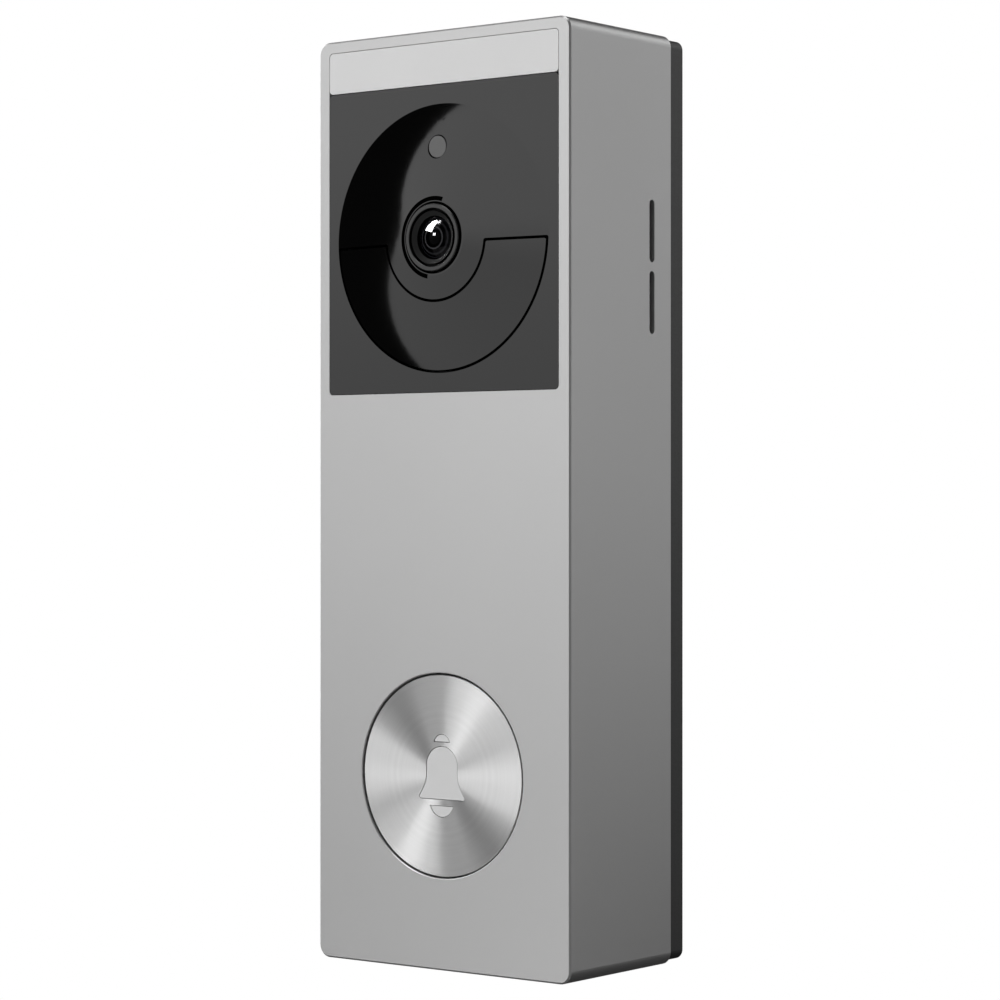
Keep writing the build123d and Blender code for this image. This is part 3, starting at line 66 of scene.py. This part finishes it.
# ---------------------------------------------------------------- camera
AZIMUTH = radians(37.74)  # to the right of straight ahead
EDGE_DISTANCE = 0.5125  # from the camera to the housing's near front edge, along the view
EDGE_OFFSET = 0.01157  # how far that edge stands to the right of the view's middle
FOCAL_LENGTH = 112.07  # in millimetres, as is the sensor's width
SENSOR_WIDTH = 36.0

camera_data = bpy.data.cameras.new("camera")
camera_data.lens = FOCAL_LENGTH
camera_data.sensor_width = SENSOR_WIDTH
camera_data.clip_start = 0.01
camera_data.clip_end = 20.0
camera = bpy.data.objects.new("camera", camera_data)
scene.collection.objects.link(camera)
right = Vector((cos(AZIMUTH), sin(AZIMUTH), 0))
ahead = Vector((-sin(AZIMUTH), cos(AZIMUTH), 0))
near_edge = Vector((HALF_WIDTH, FRONT_Y, (BOTTOM_Z + TOP_Z) / 2))
camera.location = near_edge - EDGE_OFFSET * right - EDGE_DISTANCE * ahead
camera.rotation_euler = ahead.to_track_quat("-Z", "Y").to_euler()
scene.camera = camera
scene.view_settings.view_transform = "Standard"


# ---------------------------------------------------------------- shader helpers
class Shader:
    """A material under construction: a Principled shader and short ways to add nodes to it."""

    def __init__(self, name):
        self.material = bpy.data.materials.new(name)
        self.material.use_nodes = True
        self.tree = self.material.node_tree
        self.tree.nodes.clear()
        self.output = self.node("ShaderNodeOutputMaterial")
        self.principled = self.node("ShaderNodeBsdfPrincipled")
        self.join(self.principled.outputs["BSDF"], self.output.inputs["Surface"])
        self.place = self.node("ShaderNodeTexCoord").outputs["Object"]

    def node(self, kind, **settings):
        made = self.tree.nodes.new(kind)
        for key, value in settings.items():
            setattr(made, key, value)
        return made

    def join(self, source, target):
        self.tree.links.new(source, target)

    def put(self, value, socket):
        """A number, a colour or another node's output goes into this socket."""
        if isinstance(value, bpy.types.NodeSocket):
            self.join(value, socket)
        else:
            socket.default_value = value

    def set(self, **values):
        """Values for the Principled shader, by socket name with _ for spaces."""
        for key, value in values.items():
            self.put(value, self.principled.inputs[key.replace("_", " ")])

    def math(self, operation, a, b=0.0):
        made = self.node("ShaderNodeMath", operation=operation)
        self.put(a, made.inputs[0])
        self.put(b, made.inputs[1])
        return made.outputs[0]

    def vector(self, operation, a, b=(0, 0, 0)):
        made = self.node("ShaderNodeVectorMath", operation=operation)
        self.put(a, made.inputs[0])
        self.put(b, made.inputs[1])
        single = operation in ("LENGTH", "DOT_PRODUCT")
        return made.outputs["Value" if single else "Vector"]

    def depth(self):
        """The place's Y, which grows from the front towards the wall."""
        made = self.node("ShaderNodeSeparateXYZ")
        self.join(self.place, made.inputs[0])
        return made.outputs["Y"]

    def offset(self, centre):
        return self.vector("SUBTRACT", self.place, tuple(centre))

    def radius(self, centre):
        """Distance from the axis that runs through this point from front to back."""
        flat = self.vector("MULTIPLY", self.offset(centre), (1, 0, 1))
        return self.vector("LENGTH", flat)

    def noise(self, scale, detail=2.0, squeeze=(1, 1, 1)):
        """Noise with features of about 1/scale metres, finer by a factor along each axis."""
        mapping = self.node("ShaderNodeMapping")
        mapping.inputs["Scale"].default_value = squeeze
        self.join(self.place, mapping.inputs["Vector"])
        made = self.node("ShaderNodeTexNoise")
        made.inputs["Scale"].default_value = scale
        made.inputs["Detail"].default_value = detail
        self.join(mapping.outputs[0], made.inputs["Vector"])
        return made.outputs["Fac"]

    def rings(self, radius, scale, detail=2.0):
        """Noise that changes with the radius alone, as turning leaves it."""
        made = self.node("ShaderNodeTexNoise", noise_dimensions="1D")
        made.inputs["Scale"].default_value = scale
        made.inputs["Detail"].default_value = detail
        self.join(radius, made.inputs["W"])
        return made.outputs["Fac"]

    def ramp(self, value, low, high, start=0.0, end=1.0):
        """The value from start to end becomes low to high, and stays there beyond them."""
        made = self.node("ShaderNodeMapRange")
        self.put(value, made.inputs["Value"])
        made.inputs["From Min"].default_value = start
        made.inputs["From Max"].default_value = end
        self.put(low, made.inputs["To Min"])
        self.put(high, made.inputs["To Max"])
        return made.outputs["Result"]

    def mix(self, factor, a, b):
        made = self.node("ShaderNodeMix", data_type="RGBA")
        self.put(factor, made.inputs["Factor"])
        self.put(a, made.inputs["A"])
        self.put(b, made.inputs["B"])
        return made.outputs["Result"]

    def bump(self, height, depth):
        """Turns a height from 0 to 1 into relief of this depth in metres."""
        made = self.node("ShaderNodeBump")
        made.inputs["Strength"].default_value = 1.0
        made.inputs["Distance"].default_value = depth
        self.join(height, made.inputs["Height"])
        return made.outputs["Normal"]

    def cover(self, factor, shader):
        """Where the factor is 1 this shader's node shows instead of the Principled one."""
        blend = self.node("ShaderNodeMixShader")
        self.join(factor, blend.inputs[0])
        self.join(self.principled.outputs["BSDF"], blend.inputs[1])
        self.join(shader.outputs[0], blend.inputs[2])
        self.join(blend.outputs[0], self.output.inputs["Surface"])


def grey(value):
    return (value, value, value, 1.0)


def scaled(colour, factor):
    return tuple(min(1, channel * factor) for channel in colour[:3]) + (1,)


def dress(material, *names):
    """Gives these CAD nodes this material alone."""
    for name in names:
        mesh = nodes[name].data
        mesh.materials.clear()
        mesh.materials.append(material)


# ---------------------------------------------------------------- materials
UNPOLISHED = grey(0.002)


def moulded(name, colour, roughness=0.45, grain=4000.0, depth=0.006 * MM, vary=0.12):
    """Moulded plastic: a fine texture, and slight changes of tone and gloss."""
    s = Shader(name)
    tone = s.noise(60.0, 3.0)
    s.set(Base_Color=s.mix(tone, scaled(colour, 1 - vary), scaled(colour, 1 + vary)))
    fine = s.noise(grain, 2.0)
    s.set(Roughness=s.ramp(fine, roughness - 0.06, roughness + 0.06, 0.3, 0.7))
    s.set(Normal=s.bump(fine, depth))
    return s.material


def sheet_metal(name, colour, roughness):
    """Plated or tinned sheet: faint rolling lines and cloudy gloss."""
    s = Shader(name)
    cloud = s.noise(180.0, 4.0)
    lines = s.noise(900.0, 3.0, squeeze=(1, 1, 14))
    s.set(Base_Color=s.mix(cloud, scaled(colour, 0.88), colour))
    s.set(Roughness=s.ramp(lines, roughness - 0.08, roughness + 0.1, 0.3, 0.7))
    s.set(Metallic=1.0, Normal=s.bump(lines, 0.002 * MM))
    return s.material


def housing_material():
    """Fine satin silver: a thin metallic coat with a barely visible grain."""
    s = Shader("silver_housing")
    grain = s.noise(9000.0, 2.0)
    cloud = s.noise(22.0, 3.0)
    s.set(Base_Color=s.mix(cloud, grey(0.50), grey(0.54)))
    s.set(Metallic=0.85)
    s.set(Roughness=s.ramp(grain, 0.33, 0.39, 0.3, 0.7))
    s.set(Normal=s.bump(grain, 0.0015 * MM))
    return s.material


def with_matt(s, matt):
    """Where matt is 1 the surface is unpolished black instead of what the shader says."""
    dull = s.node("ShaderNodeBsdfDiffuse")
    dull.inputs["Color"].default_value = UNPOLISHED
    s.cover(matt, dull)
    return s.material


def sides(s, start, end):
    """1 on faces turned away from the front and 0 on those that face it. Between them, the
    cosine of the angle to the front goes from start to end."""
    normal = s.node("ShaderNodeTexCoord").outputs["Normal"]
    facing = s.vector("DOT_PRODUCT", normal, (0, -1, 0))
    return s.ramp(facing, 1.0, 0.0, start, end)


def gloss_black():
    """Polished black cover: very smooth, with the faintest orange peel. Its cut sides and the
    floor of the groove round the lens are left matt."""
    s = Shader("gloss_black")
    peel = s.noise(240.0, 2.0)
    haze = s.noise(45.0, 3.0)
    # groove floor: near the lens and deeper than the polished face
    near = s.ramp(s.radius(LENS), 1.0, 0.0, GROOVE_OUTER, GROOVE_OUTER + EDGE_FADE)
    deep = s.ramp(s.depth(), 0.0, 1.0, GROOVE_TOP, GROOVE_TOP + EDGE_FADE)
    matt = s.math("MAXIMUM", sides(s, 0.86, 0.9), s.math("MULTIPLY", near, deep))
    s.set(Base_Color=s.mix(haze, grey(0.0003), grey(0.0005)))
    s.set(Roughness=s.ramp(haze, 0.03, 0.05, 0.3, 0.7))
    s.set(IOR=1.55, Normal=s.bump(peel, 0.0004 * MM))
    return with_matt(s, matt)


def trim_ring():
    """The satin black ring round the lens, unpolished on its walls."""
    s = Shader("lens_ring")
    fine = s.noise(6000.0, 2.0)
    s.set(Base_Color=s.mix(s.noise(60.0, 3.0), grey(0.018), grey(0.022)))
    s.set(Roughness=s.ramp(fine, 0.22, 0.27, 0.3, 0.7))
    s.set(Normal=s.bump(fine, 0.001 * MM))
    return with_matt(s, sides(s, 0.5, 0.6))


def barrel_material():
    """Anti-reflective black inside the lens barrel, with fine turned grooves on its cone."""
    s = Shader("lens_barrel")
    grooves = s.rings(s.radius(LENS), 5000.0)
    s.set(Base_Color=s.mix(grooves, grey(0.010), grey(0.018)))
    s.set(Roughness=s.ramp(grooves, 0.55, 0.65, 0.3, 0.7))
    s.set(Specular_IOR_Level=0.08, Normal=s.bump(grooves, 0.01 * MM))
    return with_matt(s, sides(s, 0.3, 0.4))


def diffuser_material():
    """Milky light strip: even and soft."""
    s = Shader("diffuser")
    cloud = s.noise(90.0, 2.0)
    s.set(Base_Color=s.mix(cloud, grey(0.64), grey(0.67)))
    s.set(Roughness=0.38, IOR=1.45)
    s.set(Normal=s.bump(s.noise(5000.0, 1.0), 0.001 * MM))
    return s.material


def turned_metal():
    """Turned button face: fine circles about its centre, which draw light into rays."""
    s = Shader("turned_metal")
    axis = (0, 1, 0)
    across = s.vector("CROSS_PRODUCT", s.offset(BUTTON), axis)
    radius = s.radius(BUTTON)
    fine = s.rings(radius, 9000.0, 4.0)
    broad = s.rings(radius, 1400.0, 3.0)
    s.set(Base_Color=s.mix(broad, grey(0.52), grey(0.58)))
    s.set(Metallic=1.0, Anisotropic=1.0, Tangent=s.vector("NORMALIZE", across))
    s.set(Roughness=s.ramp(fine, 0.38, 0.44, 0.35, 0.65))
    s.set(Normal=s.bump(fine, 0.0006 * MM))
    return s.material


def lens_with_painted_rings():
    """The coated front lens: a dark face as painted shade for the dark inside of the lens, with
    painted rings for the lit rim of the pupil and for faint reflections off the edges of the
    elements behind it.
    """
    s = Shader("lens_front")
    radius = s.radius(LENS)
    dust = s.noise(300.0, 2.0)
    # a near black face, painted shade for the inside of the lens, with faint dust
    tone = s.mix(dust, (0.0005, 0.0005, 0.0006, 1), (0.0008, 0.0008, 0.0009, 1))
    # painted rings, a painted lit rim round the pupil and painted faint reflections of the
    # elements behind: radius and half width in millimetres, and colour
    for middle, half, colour in (
        (1.85, 0.18, (0.045, 0.045, 0.048, 1)),
        (2.75, 0.22, (0.016, 0.016, 0.018, 1)),
        (3.35, 0.12, (0.010, 0.010, 0.012, 1)),
    ):
        off = s.math("ABSOLUTE", s.math("SUBTRACT", radius, middle * MM))
        tone = s.mix(s.ramp(off, 1.0, 0.0, 0.2 * half * MM, half * MM), tone, colour)
    s.set(Base_Color=tone, IOR=1.5, Specular_IOR_Level=0.02)
    s.set(Specular_Tint=(0.97, 0.96, 1.0, 1))
    s.set(Roughness=s.ramp(dust, 0.02, 0.05, 0.4, 0.8))
    return s.material


def clear_glass():
    """The lens elements inside."""
    s = Shader("lens_glass")
    dust = s.noise(300.0, 2.0)
    s.set(Base_Color=s.mix(dust, (0.75, 0.78, 0.9, 1), (0.68, 0.7, 0.8, 1)))
    s.set(Roughness=s.ramp(dust, 0.0, 0.03, 0.4, 0.8))
    s.set(IOR=1.52, Transmission_Weight=1.0)
    return s.material


silver = housing_material()
black_gloss = gloss_black()
black_plastic = moulded("black_plastic", grey(0.026), 0.5)
inner_plastic = moulded("inner_plastic", grey(0.03), 0.55)
board_green = moulded("board_green", (0.02, 0.11, 0.045, 1), 0.35, 1500.0, 0.004 * MM)
chip_black = moulded("chip_black", grey(0.02), 0.5, 5000.0)
connector_white = moulded("connector_white", (0.62, 0.6, 0.52, 1), 0.45)
lamp_material = moulded("lamp", (0.75, 0.66, 0.3, 1), 0.2, 2000.0, 0.002 * MM)
rubber = moulded("rubber", grey(0.025), 0.7, 3000.0, 0.01 * MM)
silicone = moulded("silicone", grey(0.2), 0.55, 3000.0, 0.006 * MM)
foam = moulded("foam", grey(0.06), 0.9, 1800.0, 0.08 * MM)
wrap = moulded("wrap", (0.02, 0.06, 0.19, 1), 0.3, 500.0, 0.02 * MM)
insulation = moulded("insulation", (0.35, 0.02, 0.015, 1), 0.4)
film = moulded("film", (0.28, 0.12, 0.02, 1), 0.25, 900.0, 0.003 * MM)
cloth = moulded("cloth", grey(0.02), 0.8, 6000.0, 0.03 * MM)
steel = sheet_metal("steel", grey(0.55), 0.28)
tin = sheet_metal("tin", grey(0.6), 0.33)
brass = sheet_metal("brass", (0.62, 0.45, 0.18, 1), 0.3)
bell_plastic = moulded("bell_plastic", grey(0.59), 0.5, 4000.0, 0.002 * MM, 0.03)
smoked = moulded("smoked_window", grey(0.085), 0.12, 3000.0, 0.001 * MM, 0.05)

dress(silver, "housing_shell")
dress(black_gloss, "camera_fascia", "pir_window")
dress(diffuser_material(), "light_bar_diffuser")
dress(turned_metal(), "button_cap")
dress(bell_plastic, "bell_light_guide")
dress(smoked, "light_sensor_window", "infrared_lamps")
dress(trim_ring(), "lens_trim_ring")
dress(barrel_material(), "lens_barrel")
dress(clear_glass(), "lens_inner_elements")
dress(black_plastic, "wall_bracket", "rear_cover", "port_door")
dress(
    inner_plastic,
    "chassis",
    "button_carrier",
    "lens_holder",
    "speaker_box",
    "speaker_driver",
    "switch_plunger",
    "button_switch",
    "terminal_block",
    "reset_button",
    "speaker_cone",
)
dress(
    board_green,
    "main_board",
    "camera_board",
    "sensor_board",
    "light_bar_board",
    "microphone_board",
    "button_board",
)
dress(chip_black, "board_chips", "image_sensor", "light_sensor")
dress(connector_white, "board_connectors")
dress(lamp_material, "light_bar_lamps", "button_lamps")
dress(rubber, "fascia_gasket", "lens_seal")
dress(silicone, "microphone_boot", "button_seal", "rear_seal")
dress(foam, "battery_pad", "speaker_gasket")
dress(wrap, "battery_pack")
dress(insulation, "battery_lead")
dress(film, "wifi_antenna", "button_cable")
dress(cloth, "speaker_mesh")
dress(steel, "security_screw", "chassis_screws", "board_screws", "rear_cover_screws")
dress(tin, "pir_sensor", "processor_shield", "microphone", "charging_port", "reset_switch")
dress(brass, "terminal_screws")


# ---------------------------------------------------------------- front lens
LENS_CAP = 1.1 * MM  # how far the lens face bulges
TURNS = 128  # divisions round the lens
ARC_STEPS = 32  # and from its middle to its rim
SHARP_ANGLE = radians(30)


def turned_piece(name, profile, material):
    """A solid turned about the lens axis. The profile lists (radius, y) from the axis in front
    to the axis behind; its sharp corners stay sharp."""
    bm = bmesh.new()
    front = bm.verts.new((0, profile[0][1], LENS.z))
    back = bm.verts.new((0, profile[-1][1], LENS.z))
    loops = []
    around = [2 * pi * i / TURNS for i in range(TURNS)]
    for radius, y in profile[1:-1]:
        places = [(radius * cos(a), y, LENS.z + radius * sin(a)) for a in around]
        loops.append([bm.verts.new(place) for place in places])
    for i in range(TURNS):
        after = (i + 1) % TURNS
        bm.faces.new((front, loops[0][i], loops[0][after]))
        bm.faces.new((back, loops[-1][after], loops[-1][i]))
        for inner, outer in zip(loops, loops[1:]):
            bm.faces.new((inner[i], outer[i], outer[after], inner[after]))
    bmesh.ops.recalc_face_normals(bm, faces=bm.faces)
    for face in bm.faces:
        face.smooth = True
    for edge in bm.edges:
        edge.smooth = edge.calc_face_angle(0) < SHARP_ANGLE
    mesh = bpy.data.meshes.new(name)
    bm.to_mesh(mesh)
    bm.free()
    mesh.materials.append(material)
    made = bpy.data.objects.new(name, mesh)
    scene.collection.objects.link(made)
    return made


def front_lens():
    """The front lens with a finely divided spherical face, in the place of the CAD node."""
    low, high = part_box("lens_front_element")
    radius = high.x
    ball = (radius**2 + LENS_CAP**2) / (2 * LENS_CAP)
    reach = asin(radius / ball)
    arc = [reach * i / ARC_STEPS for i in range(ARC_STEPS + 1)]
    profile = [(ball * sin(a), low.y + ball * (1 - cos(a))) for a in arc]
    profile += [(radius, high.y), (0, high.y)]
    glass = turned_piece("front_lens", profile, lens_with_painted_rings())
    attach(glass, "unit")
    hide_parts("lens_front_element")
    return glass


lens = front_lens()

# ---------------------------------------------------------------- studio
LIGHT_DISTANCE = 1.5
KEY_LOW, KEY_HIGH = 0.84, 1.12  # the key light's strength in its lower and its upper half
KEY_FADE = 0.38, 0.62  # where one becomes the other, as shares of its height
AMBIENT = 0.02
FLOOR_RADIUS = 2.0
FLOOR_SIDES = 96


def softbox(name, azimuth, elevation, width, height, radiance, shape="RECTANGLE"):
    """A light facing the object from this direction, with its size in degrees as seen from
    the object. Azimuth 0 is straight out from the front, and grows to the left as seen by
    someone facing the front."""
    data = bpy.data.lights.new(name, "AREA")
    data.shape = shape
    data.size = 2 * LIGHT_DISTANCE * tan(radians(width / 2))
    data.size_y = 2 * LIGHT_DISTANCE * tan(radians(height / 2))
    filled = pi / 4 if shape == "ELLIPSE" else 1.0
    data.energy = pi * filled * data.size * data.size_y * radiance
    lamp = bpy.data.objects.new(name, data)
    a, e = radians(azimuth), radians(elevation)
    away = Vector((-sin(a) * cos(e), -cos(a) * cos(e), sin(e)))
    lamp.location = Vector((0, FRONT_Y, 0)) + away * LIGHT_DISTANCE
    lamp.rotation_euler = (-away).to_track_quat("-Z", "Y").to_euler()
    lamp.visible_camera = False
    scene.collection.objects.link(lamp)
    return lamp


def shade_key(lamp):
    """Makes the oval softbox a little brighter in its upper half."""
    lamp.data.use_nodes = True
    tree = lamp.data.node_tree
    emission = tree.nodes["Emission"]
    across = tree.nodes.new("ShaderNodeNewGeometry")
    split = tree.nodes.new("ShaderNodeSeparateXYZ")
    fade = tree.nodes.new("ShaderNodeMapRange")
    fade.interpolation_type = "SMOOTHSTEP"
    fade.inputs["From Min"].default_value = KEY_FADE[0]
    fade.inputs["From Max"].default_value = KEY_FADE[1]
    fade.inputs["To Min"].default_value = KEY_LOW
    fade.inputs["To Max"].default_value = KEY_HIGH
    tree.links.new(across.outputs["Parametric"], split.inputs[0])
    tree.links.new(split.outputs["Y"], fade.inputs["Value"])
    tree.links.new(fade.outputs["Result"], emission.inputs["Strength"])


# a large oval softbox at the front left, which the gloss panel mirrors
shade_key(softbox("key", 33, 5.8, 39, 33, 1.25, "ELLIPSE"))
# smaller ones round it and at the front right
softbox("upper_left", 66, 36, 20, 20, 5.0)
softbox("upper_front", 38, 38, 26, 26, 4.0)
softbox("high_front", 28, 62, 26, 20, 2.0)
softbox("overhead", 0, 75, 30, 30, 2.0)
softbox("lower_left", 35, -32, 26, 24, 2.2)
softbox("lower_front", 8, -32, 26, 24, 3.5)
softbox("lower_right", -20, -28, 26, 34, 1.3)
softbox("middle_right", -10, 5, 18, 34, 1.6)
softbox("right", -32, 5, 18, 34, 1.3)
# behind the object, for its sides and its back
softbox("rear_right_high", -120, 38, 24, 26, 3.8)
softbox("rear_right", -125, 5, 18, 34, 1.4)
softbox("rear_middle", -160, 20, 24, 50, 0.8)
softbox("rear_left", 130, 20, 30, 50, 2.5)
softbox("behind", 180, 15, 30, 30, 1.2)

# accent lights, each for one piece alone: catch lights for the coated lens, whose reflections
# are very faint, and two from the right that draw part of the rays on the turned button
for name, piece, azimuth, elevation, width, height, radiance in (
    ("catch_window", lens, 64, 33, 36, 28, 700.0),
    ("catch_sliver", lens, 34, 44, 6, 9, 500.0),
    ("catch_spot", lens, 34, 14, 9, 6, 700.0),
    ("button_sweep", nodes["button_cap"], -20, -28, 26, 34, 5.2),
    ("button_right", nodes["button_cap"], -32, 5, 18, 34, 0.8),
):
    alone = bpy.data.collections.new(name + "_receiver")
    alone.objects.link(piece)
    lamp = softbox(name, azimuth, elevation, width, height, radiance)
    lamp.visible_diffuse = False
    lamp.light_linking.receiver_collection = alone
    lamp.light_linking.blocker_collection = alone

world = bpy.data.worlds.new("studio")
world.use_nodes = True
scene.world = world
tree = world.node_tree
tree.nodes.clear()
world_out = tree.nodes.new("ShaderNodeOutputWorld")
backdrop = tree.nodes.new("ShaderNodeBackground")
backdrop.inputs["Color"].default_value = grey(1.0)
ambient = tree.nodes.new("ShaderNodeBackground")
ambient.inputs["Color"].default_value = grey(1.0)
ambient.inputs["Strength"].default_value = AMBIENT
path = tree.nodes.new("ShaderNodeLightPath")
choose = tree.nodes.new("ShaderNodeMixShader")
tree.links.new(path.outputs["Is Camera Ray"], choose.inputs[0])
tree.links.new(ambient.outputs[0], choose.inputs[1])
tree.links.new(backdrop.outputs[0], choose.inputs[2])
tree.links.new(choose.outputs[0], world_out.inputs["Surface"])


def white_floor():
    """A round white floor that looks as bright as the backdrop and sends no light back up."""
    bm = bmesh.new()
    for i in range(FLOOR_SIDES):
        turn = 2 * pi * i / FLOOR_SIDES
        bm.verts.new((FLOOR_RADIUS * cos(turn), FLOOR_RADIUS * sin(turn), FLOOR_Z))
    bm.faces.new(bm.verts)
    mesh = bpy.data.meshes.new("floor")
    bm.to_mesh(mesh)
    bm.free()
    floor = bpy.data.objects.new("floor", mesh)
    scene.collection.objects.link(floor)
    s = Shader("floor")
    s.set(Base_Color=s.mix(s.noise(8.0, 2.0), grey(0.8), grey(0.82)), Roughness=0.6)
    seen = s.node("ShaderNodeLightPath").outputs["Is Camera Ray"]
    s.cover(seen, s.node("ShaderNodeEmission"))
    mesh.materials.append(s.material)
    floor.visible_shadow = False
    floor.visible_diffuse = False
    floor.visible_glossy = False


white_floor()
